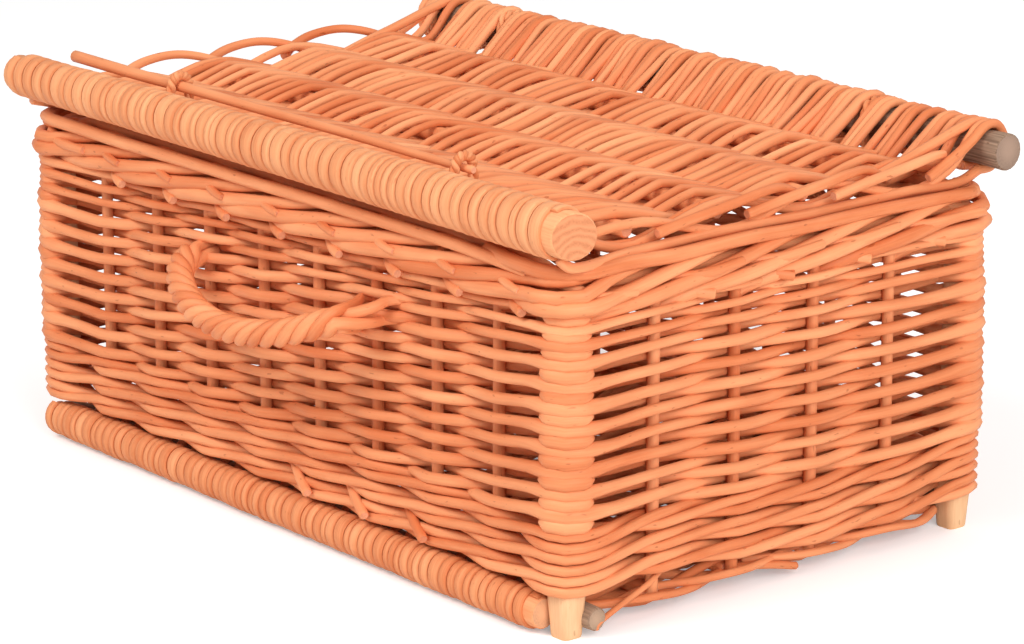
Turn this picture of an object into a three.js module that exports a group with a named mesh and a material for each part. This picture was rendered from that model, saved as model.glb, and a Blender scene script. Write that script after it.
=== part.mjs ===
// Wicker storage basket: woven walls on posts and stakes, a woven base, a woven lid that hangs
// on two loops at the back, and a lock rod that slides through two loops behind the lid's front roll.
// Millimetres, +Z up. The front wall faces -Y, and +X runs to the right along it.
import * as THREE from 'three';

// Overall sizes
const bodyLength = 505;
const bodyWidth = 317;
const wovenHeight = 158.5;
const clearance = 0.3;

// Willow of the walls: each band stands for a pair of rods worked as one
const rowCount = 12;
const rowGap = 1;
const bandThickness = 5.4;
const riserWidth = 4;
const stakeDiameter = 7;
const frontStakes = 8;
const endStakes = 4;

// Corner posts
const postDiameter = 17;
const postInset = 2.5;
const footDiameter = 14.5;
const footTaper = 19;

// Border round the top: a thick strand and a thin one, twisted
const borderWide = 16;
const borderThin = 12;
const borderOverhang = 15;

// Base
const baseFrontStick = 18;
const baseFrontOut = 5.4;
const baseBackStick = 12;
const baseStick = 9;
const baseBandPairs = 12;
const baseBandGap = 9;
const baseBandThickness = 4.5;
const baseRollPastPost = 1;
const stakeTailBelowWeave = 13;

// Lid
const lidFrontStick = 26;
const lidFrontStickThin = 22.5;
const lidRollLeft = 262;
const lidRollRight = 266;
const lidRollOut = 12.9;
const lidRollRise = 13.6;
const lidBackStick = 21;
const lidBackStickLength = 524;
const lidBackOut = 12.4;
const lidBackRise = 9.8;
const lidStick = 9.5;
const lidStickOverhang = 4;
const lidSticks = 4;
const lidBandGap = 8;
const lidBandThickness = 5.4;
const lidPairsBeforeLock = 3;
const lidPairsBetweenLocks = 8;
const lidPairsAfterLock = 3;
const lidEdgeRod = 6.5;
const hingeBandsIn = 4;

// Binding of split willow round the front sticks of the lid and the base
const bindingTurns = 24;
const bindingThickness = 2;
const bindingGap = 0.8;
const bindingBareEnd = 14;

// Loops of twisted split willow, and the lock rod
const loopWidth = 6;
const loopThickness = 3;
const loopBesideStake = 7.5;
const lockRodButt = 9;
const lockRodTip = 5;
const lockRodLength = 388;
const lockRodPastLoop = 8.25;
const lockRodBehindRoll = 26;
const lockRodAboveRoll = 10.4;

// Handle: a bow on the front wall
const handleThickness = 17;
const handleSpan = 183.5;
const handleReach = 42;
const handleDrop = 22.5;
const handleRise = 8.4;
const handleCentre = 12.5;
const handleAboveWeave = 124.7;

// Facets
const roundSides = 8;
const stickSides = 12;
const rodSides = 6;
const bindingSteps = 8;
const borderStepsPerStake = 3;
const handleSteps = 16;

// Colours and finish
const willow = { color: 0xd8834a, roughness: 0.6, metalness: 0 };
const splitWillow = { color: 0xe39a5f, roughness: 0.45, metalness: 0 };
const peeledStick = { color: 0xe2b987, roughness: 0.7, metalness: 0 };
const barkStick = { color: 0x8f7a69, roughness: 0.85, metalness: 0 };

const EIGHTH = Math.PI / 4;
const SIXTEENTH = Math.PI / 8;
const TWELFTH = Math.PI / 6;

// Radius at which a bent strip's corners lie when its flats clear a round core
function bentRadius(coreRadius, stepAngle, thickness) {
  return (coreRadius + clearance) / Math.cos(stepAngle / 2) + thickness / 2;
}

// How far a weaving strip stands off the line of sticks that it passes
function weaveOffset(stickDiameter, thickness, spacing) {
  const straight = stickDiameter / 2 + clearance + thickness / 2;
  const slope = Math.atan2(2 * straight, spacing);
  return straight / Math.cos(slope);
}

// Places worked out from the sizes above
const wallOffset = weaveOffset(stakeDiameter, bandThickness, bodyWidth / (endStakes + 2));
const wallX = bodyLength / 2 - wallOffset - bandThickness / 2;
const wallY = bodyWidth / 2 - wallOffset - bandThickness / 2;
const postX = wallX - postInset;
const postY = wallY - postInset;
const frontSpacing = 2 * postX / (frontStakes + 1);
const endSpacing = 2 * postY / (endStakes + 1);

const bindingStep = 2 * Math.PI / bindingSteps;
const baseRollRadius = bentRadius(baseFrontStick / 2, bindingStep, bindingThickness) + bindingThickness / 2;
const lidRollRadius = bentRadius(lidFrontStick / 2, bindingStep, bindingThickness) + bindingThickness / 2;
const baseLevel = baseRollRadius + clearance;
const baseRollY = -wallY - baseFrontOut;
const weaveBottom = baseLevel + baseRollRadius + clearance;
const weaveTop = weaveBottom + wovenHeight;
const rowPitch = wovenHeight / rowCount;
const bandHeight = rowPitch - rowGap;

const borderRadius = borderWide / 2;
const borderLoopRadius = bentRadius(borderRadius, EIGHTH, loopThickness);
const borderLevel = weaveTop + clearance + borderLoopRadius * Math.cos(SIXTEENTH) + loopThickness / 2;
const borderTop = borderLevel + borderRadius;
const uprightTop = borderLevel - borderRadius - clearance;

const lidLevel = borderTop + clearance + lidEdgeRod + clearance + lidStick / 2;
const lidRollY = -wallY - lidRollOut;
const lidRollLevel = lidLevel + lidRollRise;
const lidBackY = wallY + lidBackOut;
const lidBackLevel = lidLevel + lidBackRise;
const lidSpacing = (lidBackY - lidRollY) / (lidSticks + 1);

const stakeX = (index) => -postX + (index + 1) * frontSpacing;
const leftLockX = stakeX(1) + loopBesideStake;
const rightLockX = stakeX(frontStakes - 2) + loopBesideStake;
const lidBandPitch = (rightLockX - leftLockX) / (2 * lidPairsBetweenLocks);
const lidFirstBand = leftLockX - (2 * lidPairsBeforeLock + 0.5) * lidBandPitch;
const lidPairs = lidPairsBeforeLock + lidPairsBetweenLocks + lidPairsAfterLock;
const leftHingeX = lidFirstBand + (hingeBandsIn - 0.5) * lidBandPitch;
const rightHingeX = lidFirstBand + (2 * lidPairs - hingeBandsIn - 0.5) * lidBandPitch;

const lockRodY = lidRollY + lockRodBehindRoll;
const lockRodLevel = lidRollLevel + lockRodAboveRoll;

const assembly = new THREE.Group();

function add(name, geometry, finish) {
  const mesh = new THREE.Mesh(geometry, new THREE.MeshStandardMaterial(finish));
  mesh.name = name;
  assembly.add(mesh);
  return mesh;
}

// Skin over a row of rings, closed by end faces or by joining the last ring to the first
function loft(rings, joined) {
  const sides = rings[0].length;
  const points = rings.flat();
  const faces = [];
  const spans = joined ? rings.length : rings.length - 1;
  for (let ring = 0; ring < spans; ring += 1) {
    const here = ring * sides;
    const next = ((ring + 1) % rings.length) * sides;
    for (let side = 0; side < sides; side += 1) {
      const other = (side + 1) % sides;
      faces.push(here + side, here + other, next + other);
      faces.push(here + side, next + other, next + side);
    }
  }
  const last = (rings.length - 1) * sides;
  for (let side = 1; side < sides - 1 && !joined; side += 1) {
    faces.push(0, side + 1, side);
    faces.push(last, last + side, last + side + 1);
  }
  let volume = 0;
  for (let face = 0; face < faces.length; face += 3) {
    const [a, b, c] = [points[faces[face]], points[faces[face + 1]], points[faces[face + 2]]];
    volume += a.dot(b.clone().cross(c));
  }
  if (volume < 0) {
    faces.reverse();
  }
  const geometry = new THREE.BufferGeometry();
  geometry.setFromPoints(points);
  geometry.setIndex(faces);
  geometry.computeVertexNormals();
  return geometry;
}

// Four corners of a flat strip, across its width and its thickness
function stripRing(centre, across, outwards, width, thickness) {
  const half = across.clone().multiplyScalar(width / 2);
  const out = outwards.clone().multiplyScalar(thickness / 2);
  return [
    centre.clone().add(half).add(out),
    centre.clone().sub(half).add(out),
    centre.clone().sub(half).sub(out),
    centre.clone().add(half).sub(out),
  ];
}

// One wall's weave: a band that runs back and forth between the stakes and turns round the posts.
// Along local X, outside towards local -Y. Even rows go right and cover the right corner.
function wallWeave(stakes, halfSpan) {
  const spacing = 2 * halfSpan / (stakes + 1);
  const wrapRadius = bentRadius(postDiameter / 2, EIGHTH, bandThickness);
  const rings = [];

  function station(x, y, row, normalX, normalY, lean) {
    const z = weaveBottom + (row + 0.5) * rowPitch;
    const forward = new THREE.Vector3(-normalY, normalX, 0).multiplyScalar(lean);
    const out = new THREE.Vector3(normalX, normalY, 0).multiplyScalar(bandThickness / 2);
    const low = new THREE.Vector3(x, y, z - bandHeight / 2).add(forward);
    const high = new THREE.Vector3(x, y, z + bandHeight / 2).sub(forward);
    rings.push([low.clone().add(out), high.clone().add(out), high.clone().sub(out), low.clone().sub(out)]);
  }

  function wrap(side, angle, row, lean) {
    const radius = wrapRadius + lean;
    const x = side * (halfSpan + radius * Math.cos(angle));
    const y = postInset + radius * Math.sin(angle);
    station(x, y, row, Math.cos(angle), side * Math.sin(angle), lean);
  }

  wrap(-1, 2 * EIGHTH, 0, 0);
  for (let row = 0; row < rowCount; row += 1) {
    const side = row % 2 === 0 ? 1 : -1;
    for (let stake = 0; stake < stakes; stake += 1) {
      const along = side * (-halfSpan + (stake + 1) * spacing);
      const outside = stake % 2 === 0 ? -1 : 1;
      station(along, outside * wallOffset, row, 0, -side, 0);
    }
    wrap(side, -2 * EIGHTH, row, 0);
    wrap(side, -EIGHTH, row, 0);
    wrap(side, 0, row, 0);
    if (row < rowCount - 1) {
      wrap(side, EIGHTH, row, 0);
      wrap(side, 2 * EIGHTH, row, riserWidth / 2);
      wrap(side, 2 * EIGHTH, row + 1, riserWidth / 2);
    }
  }
  return loft(rings, false);
}

// A panel's weave: bands along Y, over and under the cross sticks, that wrap the back stick
// and turn flat behind the front one. Neighbouring bands pass each stick on opposite sides.
function panelWeave(panel) {
  const points = [];
  const acrosses = [];
  const wrapRadius = bentRadius(panel.backStick / 2 + clearance, EIGHTH, panel.thickness);
  const width = panel.pitch - panel.bandGap;
  const turn = panel.frontEdge + width / 2;

  function station(x, y, z, acrossX, acrossY) {
    points.push(new THREE.Vector3(x, y, z));
    acrosses.push(new THREE.Vector3(acrossX, acrossY, 0));
  }

  for (let pair = 0; pair < panel.pairs; pair += 1) {
    const x = panel.firstBand + 2 * pair * panel.pitch;
    station(x, turn + panel.pitch / 2, panel.frontLevel, 1, 0);
    panel.sticksY.forEach((y, index) => {
      station(x, y, panel.level + (index % 2 === 0 ? 1 : -1) * panel.offset, 1, 0);
    });
    for (let step = 3; step >= -3; step -= 1) {
      const angle = step * EIGHTH;
      const shift = panel.pitch * (3 - step) / 6;
      const y = panel.backY + wrapRadius * Math.cos(angle);
      station(x + shift, y, panel.backLevel + wrapRadius * Math.sin(angle), 1, 0);
    }
    const back = [...panel.sticksY].reverse();
    back.forEach((y, index) => {
      station(x + panel.pitch, y, panel.level + (index % 2 === 0 ? 1 : -1) * panel.offset, 1, 0);
    });
    station(x + panel.pitch, turn + panel.pitch / 2, panel.frontLevel, 1, 0);
    if (pair < panel.pairs - 1) {
      station(x + 1.5 * panel.pitch, turn, panel.frontLevel, 0, -1);
    }
  }

  const rings = points.map((point, index) => {
    const before = points[Math.max(index - 1, 0)];
    const after = points[Math.min(index + 1, points.length - 1)];
    const into = point.clone().sub(before).normalize();
    const away = after.clone().sub(point).normalize();
    const tangent = into.add(away).normalize();
    const flat = acrosses[index].clone();
    flat.addScaledVector(tangent, -flat.dot(tangent)).normalize();
    const outwards = flat.clone().cross(tangent);
    return stripRing(point, flat, outwards, width, panel.thickness);
  });
  return loft(rings, false);
}

// Binding wound round a stick along X, and the least gap between its turns
function binding(name, left, right, leftRadius, rightRadius) {
  const pitch = (right - left) / bindingTurns;
  const width = pitch - bindingGap;
  const along = new THREE.Vector3(1, 0, 0);
  const rings = [];
  const steps = (bindingTurns - 1) * bindingSteps;
  for (let step = 0; step <= steps; step += 1) {
    const share = step / steps;
    const angle = step * bindingStep;
    const core = leftRadius + (rightRadius - leftRadius) * share;
    const radius = bentRadius(core, bindingStep, bindingThickness);
    const outwards = new THREE.Vector3(0, Math.cos(angle), Math.sin(angle));
    const centre = outwards.clone().multiplyScalar(radius);
    centre.x = left + width / 2 + pitch * step / bindingSteps;
    rings.push(stripRing(centre, along, outwards, width, bindingThickness));
  }
  let least = Infinity;
  for (let step = 0; step + bindingSteps <= steps; step += 1) {
    rings[step].forEach((point) => {
      rings[step + bindingSteps].forEach((other) => {
        least = Math.min(least, point.distanceTo(other));
      });
    });
  }
  console.log(`${name}: least gap between turns ${least.toFixed(2)} mm`);
  return loft(rings, false);
}

// Round stick along X, which may taper from left to right
function stickAlongX(name, left, right, leftDiameter, rightDiameter, sides, y, z, finish) {
  const geometry = new THREE.CylinderGeometry(leftDiameter / 2, rightDiameter / 2, right - left, sides);
  geometry.rotateZ(Math.PI / 2);
  const mesh = add(name, geometry, finish);
  mesh.position.set((left + right) / 2, y, z);
}

// Points of an arc in the YZ plane, from one angle to another in equal steps
function arc(centreY, centreZ, radius, from, to, steps) {
  const points = [];
  for (let step = 0; step <= steps; step += 1) {
    const angle = from + (to - from) * step / steps;
    points.push(new THREE.Vector3(0, centreY + radius * Math.cos(angle), centreZ + radius * Math.sin(angle)));
  }
  return points;
}

// Flat strap closed on itself in the YZ plane
function strapLoop(points) {
  const along = new THREE.Vector3(1, 0, 0);
  const rings = points.map((point, index) => {
    const before = points[(index + points.length - 1) % points.length];
    const after = points[(index + 1) % points.length];
    const into = point.clone().sub(before).normalize();
    const away = after.clone().sub(point).normalize();
    const tangent = into.add(away).normalize();
    return stripRing(point, along, along.clone().cross(tangent), loopWidth, loopThickness);
  });
  return loft(rings, true);
}

// Round rod along points in the YZ plane
function rodAlong(points, diameter) {
  const rings = points.map((point, index) => {
    const before = points[Math.max(index - 1, 0)];
    const after = points[Math.min(index + 1, points.length - 1)];
    const into = index > 0 ? point.clone().sub(before).normalize() : new THREE.Vector3();
    const away = index < points.length - 1 ? after.clone().sub(point).normalize() : new THREE.Vector3();
    const tangent = into.add(away).normalize();
    const sideways = new THREE.Vector3(1, 0, 0);
    const upwards = sideways.clone().cross(tangent);
    const ring = [];
    for (let corner = 0; corner < rodSides; corner += 1) {
      const angle = corner * 2 * Math.PI / rodSides;
      const spoke = sideways.clone().multiplyScalar(Math.cos(angle));
      spoke.addScaledVector(upwards, Math.sin(angle));
      ring.push(point.clone().addScaledVector(spoke, diameter / 2));
    }
    return ring;
  });
  return loft(rings, false);
}

// Border bar along X: an oval that turns half round from stake to stake, upright at each stake
function borderBar(halfLength, spacing, stakes) {
  const rings = [];
  const steps = Math.ceil(2 * halfLength / spacing) * borderStepsPerStake;
  const phase = stakes % 2 === 0 ? 0 : Math.PI / 2;
  for (let step = 0; step <= steps; step += 1) {
    const x = -halfLength + 2 * halfLength * step / steps;
    const twist = phase + Math.PI * x / spacing;
    const ring = [];
    for (let corner = 0; corner < roundSides; corner += 1) {
      const angle = corner * 2 * Math.PI / roundSides;
      const wide = borderWide / 2 * Math.cos(angle);
      const thin = borderThin / 2 * Math.sin(angle);
      const y = wide * Math.cos(twist) - thin * Math.sin(twist);
      const z = wide * Math.sin(twist) + thin * Math.cos(twist);
      ring.push(new THREE.Vector3(x, y, z));
    }
    rings.push(ring);
  }
  return loft(rings, false);
}

// Corner post with its cut foot; a short one stands on the base's front stick
function post(name, x, y, bottom) {
  const profile = [
    new THREE.Vector2(0, bottom),
    new THREE.Vector2(footDiameter / 2, bottom),
    new THREE.Vector2(postDiameter / 2, Math.max(footTaper, bottom + clearance)),
    new THREE.Vector2(postDiameter / 2, uprightTop),
    new THREE.Vector2(0, uprightTop),
  ];
  const geometry = new THREE.LatheGeometry(profile, stickSides);
  geometry.rotateX(Math.PI / 2);
  const mesh = add(name, geometry, peeledStick);
  mesh.position.set(x, y, 0);
}

function posts() {
  const onRoll = baseLevel + baseRollRadius + clearance;
  post('post_front_left', -postX, -postY, onRoll);
  post('post_front_right', postX, -postY, 0);
  post('post_back_left', -postX, postY, 0);
  post('post_back_right', postX, postY, 0);
}

function stake(name, x, y, bottom) {
  const height = uprightTop - bottom;
  const geometry = new THREE.CylinderGeometry(stakeDiameter / 2, stakeDiameter / 2, height, roundSides);
  geometry.rotateX(Math.PI / 2);
  const mesh = add(name, geometry, willow);
  mesh.position.set(x, y, bottom + height / 2);
}

function stakes() {
  for (let index = 0; index < frontStakes; index += 1) {
    stake(`stake_front_${index + 1}`, stakeX(index), -wallY, weaveBottom);
    stake(`stake_back_${index + 1}`, stakeX(index), wallY, weaveBottom);
  }
  for (let index = 0; index < endStakes; index += 1) {
    const y = -postY + (index + 1) * endSpacing;
    stake(`stake_left_${index + 1}`, -wallX, y, weaveBottom - stakeTailBelowWeave);
    stake(`stake_right_${index + 1}`, wallX, y, weaveBottom - stakeTailBelowWeave);
  }
}

function walls() {
  const sides = [
    ['front', frontStakes, postX, wallY, 0],
    ['right', endStakes, postY, wallX, 1],
    ['back', frontStakes, postX, wallY, 2],
    ['left', endStakes, postY, wallX, 3],
  ];
  sides.forEach(([name, count, halfSpan, distance, quarter]) => {
    const turn = quarter * Math.PI / 2;
    const weave = add(`weave_${name}`, wallWeave(count, halfSpan), willow);
    weave.rotation.z = turn;
    weave.position.set(distance * Math.sin(turn), -distance * Math.cos(turn), 0);
    const spacing = 2 * halfSpan / (count + 1);
    const long = quarter % 2 === 0;
    const halfLength = long ? wallX + borderOverhang : wallY - borderRadius - clearance;
    const border = add(`border_${name}`, borderBar(halfLength, spacing, count), willow);
    border.rotation.z = turn;
    border.position.set(distance * Math.sin(turn), -distance * Math.cos(turn), borderLevel);
  });
}

function base() {
  const postSide = postX - postDiameter / 2 - clearance;
  const left = -postX - baseRollPastPost;
  stickAlongX('base_front_stick', left, postSide, baseFrontStick, baseFrontStick, stickSides,
    baseRollY, baseLevel, peeledStick);
  const wound = binding('base_front_binding', left, postSide, baseFrontStick / 2, baseFrontStick / 2);
  add('base_front_binding', wound, splitWillow).position.set(0, baseRollY, baseLevel);
  stickAlongX('base_back_stick', -postSide, postSide, baseBackStick, baseBackStick, stickSides,
    -baseRollY, baseLevel, barkStick);

  const stickEnd = wallX - stakeDiameter / 2 - clearance;
  const sticksY = [];
  for (let index = 0; index < endStakes; index += 1) {
    sticksY.push(-postY + (index + 1) * endSpacing);
    stickAlongX(`base_stick_${index + 1}`, -stickEnd, stickEnd, baseStick, baseStick, roundSides,
      sticksY[index], baseLevel, peeledStick);
  }
  const wrapReach = bentRadius(postDiameter / 2, EIGHTH, bandThickness) + bandThickness / 2;
  const halfWoven = postX - wrapReach;
  const pitch = 2 * halfWoven / (2 * baseBandPairs);
  const weave = panelWeave({
    pairs: baseBandPairs,
    firstBand: -halfWoven + pitch / 2,
    pitch,
    bandGap: baseBandGap,
    thickness: baseBandThickness,
    sticksY,
    level: baseLevel,
    offset: weaveOffset(baseStick, baseBandThickness, endSpacing),
    backStick: baseBackStick,
    backY: -baseRollY,
    backLevel: baseLevel,
    frontEdge: baseRollY + baseRollRadius + clearance,
    frontLevel: baseLevel,
  });
  add('base_weave', weave, willow);
}

function lid() {
  const binds = [-lidRollLeft + bindingBareEnd, lidRollRight - bindingBareEnd];
  stickAlongX('lid_front_stick', -lidRollLeft, lidRollRight, lidFrontStickThin, lidFrontStick, stickSides,
    lidRollY, lidRollLevel, peeledStick);
  const wound = binding('lid_front_binding', binds[0], binds[1], lidFrontStickThin / 2, lidFrontStick / 2);
  add('lid_front_binding', wound, splitWillow).position.set(0, lidRollY, lidRollLevel);
  stickAlongX('lid_back_stick', -lidBackStickLength / 2, lidBackStickLength / 2, lidBackStick, lidBackStick,
    stickSides, lidBackY, lidBackLevel, barkStick);

  const stickEnd = wallX + lidStickOverhang;
  const sticksY = [];
  for (let index = 0; index < lidSticks; index += 1) {
    sticksY.push(lidRollY + (index + 1) * lidSpacing);
    stickAlongX(`lid_stick_${index + 1}`, -stickEnd, stickEnd, lidStick, lidStick, roundSides,
      sticksY[index], lidLevel, peeledStick);
  }
  const weave = panelWeave({
    pairs: lidPairs,
    firstBand: lidFirstBand,
    pitch: lidBandPitch,
    bandGap: lidBandGap,
    thickness: lidBandThickness,
    sticksY,
    level: lidLevel,
    offset: weaveOffset(lidStick, lidBandThickness, lidSpacing),
    backStick: lidBackStick,
    backY: lidBackY,
    backLevel: lidBackLevel,
    frontEdge: lidRollY + lidRollRadius + clearance,
    frontLevel: lidLevel,
  });
  add('lid_weave', weave, willow);
  lidEdges();
}

// Rods along the lid's two ends: under the roll, back under the sticks, round the back stick
// and forward again over the sticks
function lidEdges() {
  const rollRadius = bentRadius(lidRollRadius, TWELFTH, lidEdgeRod);
  const backRadius = bentRadius(lidBackStick / 2, EIGHTH, lidEdgeRod);
  const under = lidLevel - lidStick / 2 - clearance - lidEdgeRod / 2;
  const over = lidLevel + lidStick / 2 + clearance + lidEdgeRod / 2;
  const firstStick = lidRollY + lidSpacing;
  const lastStick = lidBackY - lidSpacing;
  const points = [
    ...arc(lidRollY, lidRollLevel, rollRadius, -3 * TWELFTH, -2 * TWELFTH, 1),
    new THREE.Vector3(0, -wallY + borderRadius + lidEdgeRod, under),
    new THREE.Vector3(0, lastStick + lidStick, under),
    ...arc(lidBackY, lidBackLevel, backRadius, -Math.PI / 2, Math.PI / 2, 4),
    new THREE.Vector3(0, lastStick, over),
    new THREE.Vector3(0, firstStick, over),
    new THREE.Vector3(0, lidRollY + lidRollRadius + clearance, over),
  ];
  [['left', -1], ['right', 1]].forEach(([name, side]) => {
    const rod = add(`lid_edge_${name}`, rodAlong(points, lidEdgeRod), willow);
    rod.position.x = side * wallX;
  });
}

// Loops round the back border and the lid's back stick, which turns in them
function hingeLoops() {
  const stickRadius = bentRadius(lidBackStick / 2, EIGHTH, loopThickness);
  const leavesBorder = 4 * EIGHTH - SIXTEENTH;
  const points = [
    ...arc(wallY, borderLevel, borderLoopRadius, leavesBorder, leavesBorder + 5 * EIGHTH, 5),
    ...arc(lidBackY, lidBackLevel, stickRadius, leavesBorder - 4 * EIGHTH, leavesBorder, 4),
  ];
  add('hinge_loop_left', strapLoop(points), splitWillow).position.x = leftHingeX;
  add('hinge_loop_right', strapLoop(points), splitWillow).position.x = rightHingeX;
}

// Loops round the front border that rise behind the lid's roll and close over the lock rod
function lockLoops() {
  const rollRadius = bentRadius(lidRollRadius, TWELFTH, loopThickness);
  const rodRadius = bentRadius(lockRodButt / 2, EIGHTH, loopThickness);
  const points = [
    ...arc(-wallY, borderLevel, borderLoopRadius, SIXTEENTH, SIXTEENTH - 5 * EIGHTH, 5),
    ...arc(lidRollY, lidRollLevel, rollRadius, -2.5 * TWELFTH, 0.5 * TWELFTH, 3),
    ...arc(lockRodY, lockRodLevel, rodRadius, SIXTEENTH + 3 * EIGHTH, SIXTEENTH, 3),
  ];
  add('lock_loop_left', strapLoop(points), splitWillow).position.x = leftLockX;
  add('lock_loop_right', strapLoop(points), splitWillow).position.x = rightLockX;
}

function lockRod() {
  const right = rightLockX + lockRodPastLoop;
  stickAlongX('lock_rod', right - lockRodLength, right, lockRodButt, lockRodTip, roundSides,
    lockRodY, lockRodLevel, willow);
}

// Bow of the handle: square out of the wall at both ends, hanging in the middle, its right end higher
class HandleBow extends THREE.Curve {
  getPoint(share) {
    const angle = share * Math.PI;
    const wallFace = -bodyWidth / 2 - clearance;
    const leftEnd = weaveBottom + handleAboveWeave;
    return new THREE.Vector3(
      handleCentre - handleSpan / 2 * Math.cos(angle),
      wallFace - handleReach * Math.sin(angle),
      leftEnd + handleRise * Math.sin(angle / 2) ** 2 - handleDrop * Math.sin(angle) ** 2,
    );
  }
}

function handle() {
  const section = new THREE.Shape();
  section.absarc(0, 0, handleThickness / 2, 0, 2 * Math.PI, false);
  const geometry = new THREE.ExtrudeGeometry(section, {
    steps: handleSteps,
    curveSegments: roundSides,
    bevelEnabled: false,
    extrudePath: new HandleBow(),
  });
  add('handle', geometry, willow);
}

posts();
stakes();
walls();
base();
lid();
hingeLoops();
lockLoops();
lockRod();
handle();

// The origin is under the middle of the whole object, on the floor
const box = new THREE.Box3().setFromObject(assembly);
const middle = box.getCenter(new THREE.Vector3());
assembly.position.set(-middle.x, -middle.y, -box.min.z);

const basket = new THREE.Group();
basket.add(assembly);

export default basket;
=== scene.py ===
import random
from math import acos, atan2, copysign, cos, exp, hypot, pi, prod, radians, sin

import bmesh
import bpy
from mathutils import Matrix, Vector, noise


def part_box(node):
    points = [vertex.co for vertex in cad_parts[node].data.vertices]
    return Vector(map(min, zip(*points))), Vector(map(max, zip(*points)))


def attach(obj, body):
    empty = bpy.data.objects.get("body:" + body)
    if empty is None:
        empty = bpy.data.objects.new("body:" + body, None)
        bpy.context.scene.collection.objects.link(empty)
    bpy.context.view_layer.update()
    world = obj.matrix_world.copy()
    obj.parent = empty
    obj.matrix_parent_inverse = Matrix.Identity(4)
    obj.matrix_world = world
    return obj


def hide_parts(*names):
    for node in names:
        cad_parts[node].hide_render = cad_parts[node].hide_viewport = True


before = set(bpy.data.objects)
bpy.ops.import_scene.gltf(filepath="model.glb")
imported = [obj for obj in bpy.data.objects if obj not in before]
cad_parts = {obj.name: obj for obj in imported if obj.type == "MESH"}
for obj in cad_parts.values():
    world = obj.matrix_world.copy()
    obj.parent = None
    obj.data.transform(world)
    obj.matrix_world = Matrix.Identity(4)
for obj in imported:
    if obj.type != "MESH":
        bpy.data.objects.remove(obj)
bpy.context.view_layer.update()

dice = random.Random(41)


# sizes below are in millimetres, as the CAD has them
def boxOf(node):
    low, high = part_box(node)
    return low * 1000, high * 1000


def middleOf(node):
    low, high = boxOf(node)
    return (low + high) / 2


def radiusOf(node, axis=2):
    low, high = boxOf(node)
    return (high[axis] - low[axis]) / 2


def mix(start, stop, share):
    return start + (stop - start) * share


def wobble(track, along, size):
    return size * noise.noise(Vector((track * 7.31, along, 0.37)))


def newTrack():   # a lane of its own in the noise
    return dice.random() * 40


def addObject(name, data):
    holder = bpy.data.objects.new(name, data)
    bpy.context.scene.collection.objects.link(holder)
    return holder


# camera at the photograph's angle
cameraLook = dict(azimuth=50.49, elevation=15.62, distance=2353.2, target=(15.2, 14.9, 100.8), lens=139.2)


def makeCamera(look):
    camera = bpy.data.cameras.new("camera")
    camera.lens = look["lens"]
    camera.sensor_width = 36
    camera.clip_end = 50
    holder = addObject("camera", camera)
    turn, lift = radians(look["azimuth"]), radians(look["elevation"])
    back = Vector((sin(turn) * cos(lift), -cos(turn) * cos(lift), sin(lift)))
    holder.location = (Vector(look["target"]) + back * look["distance"]) / 1000
    holder.rotation_euler = back.to_track_quat("Z", "Y").to_euler()
    bpy.context.scene.camera = holder


makeCamera(cameraLook)
print("camera placed")


# shader nodes: an input takes a plain value or the output that feeds it
def feedNode(tree, node, inputs):
    for name, value in inputs.items():
        if isinstance(value, bpy.types.NodeSocket):
            tree.links.new(value, node.inputs[name])
        else:
            node.inputs[name].default_value = value


def addNode(tree, kind, inputs, **settings):
    node = tree.nodes.new("ShaderNode" + kind)
    for name, value in settings.items():
        setattr(node, name, value)
    feedNode(tree, node, inputs)
    return node


def newMaterial(name):
    material = bpy.data.materials.new(name)
    material.use_nodes = True
    return material, material.node_tree, material.node_tree.nodes["Principled BSDF"]


# soft studio light and a white floor; each lamp is its name, place, size and power
stageLook = dict(
    floor=0.9, floorGlow=0.3, world=0.48, lampsAim=(0, 0, 0.1),
    lamps=(("key", (-0.3, -2.3, 2.4), 1.6, 51), ("fill", (2.5, -0.6, 1.3), 1.8, 47),
           ("back", (0.6, 2.2, 1.8), 1.6, 11)))


def makeStage(look):
    bpy.context.scene.view_settings.view_transform = "Standard"
    mesh = bpy.data.meshes.new("floor")
    bm = bmesh.new()
    bmesh.ops.create_grid(bm, x_segments=1, y_segments=1, size=9)
    bm.to_mesh(mesh)
    bm.free()
    floor = addObject("floor", mesh)
    paint, tree, shader = newMaterial("floorWhite")
    path = addNode(tree, "LightPath", {})   # the glow is only for the eye, so the shadow stays
    glow = addNode(tree, "Math", {0: path.outputs["Is Camera Ray"], 1: look["floorGlow"]}, operation="MULTIPLY")
    feedNode(tree, shader, {"Base Color": (look["floor"],) * 3 + (1,), "Roughness": 0.9,
                            "Specular IOR Level": 0, "Emission Color": (1, 1, 1, 1),
                            "Emission Strength": glow.outputs[0]})
    mesh.materials.append(paint)

    world = bpy.data.worlds.new("studio")
    bpy.context.scene.world = world
    world.use_nodes = True
    feedNode(world.node_tree, world.node_tree.nodes["Background"],
             {"Color": (1, 0.985, 0.965, 1), "Strength": look["world"]})
    for name, place, size, power in look["lamps"]:
        lamp = bpy.data.lights.new(name, "AREA")
        lamp.shape = "DISK"
        lamp.size = size
        lamp.energy = power
        holder = addObject(name, lamp)
        holder.location = place
        holder.rotation_euler = (Vector(place) - Vector(look["lampsAim"])).to_track_quat("Z", "Y").to_euler()


makeStage(stageLook)
print("stage lit")


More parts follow.
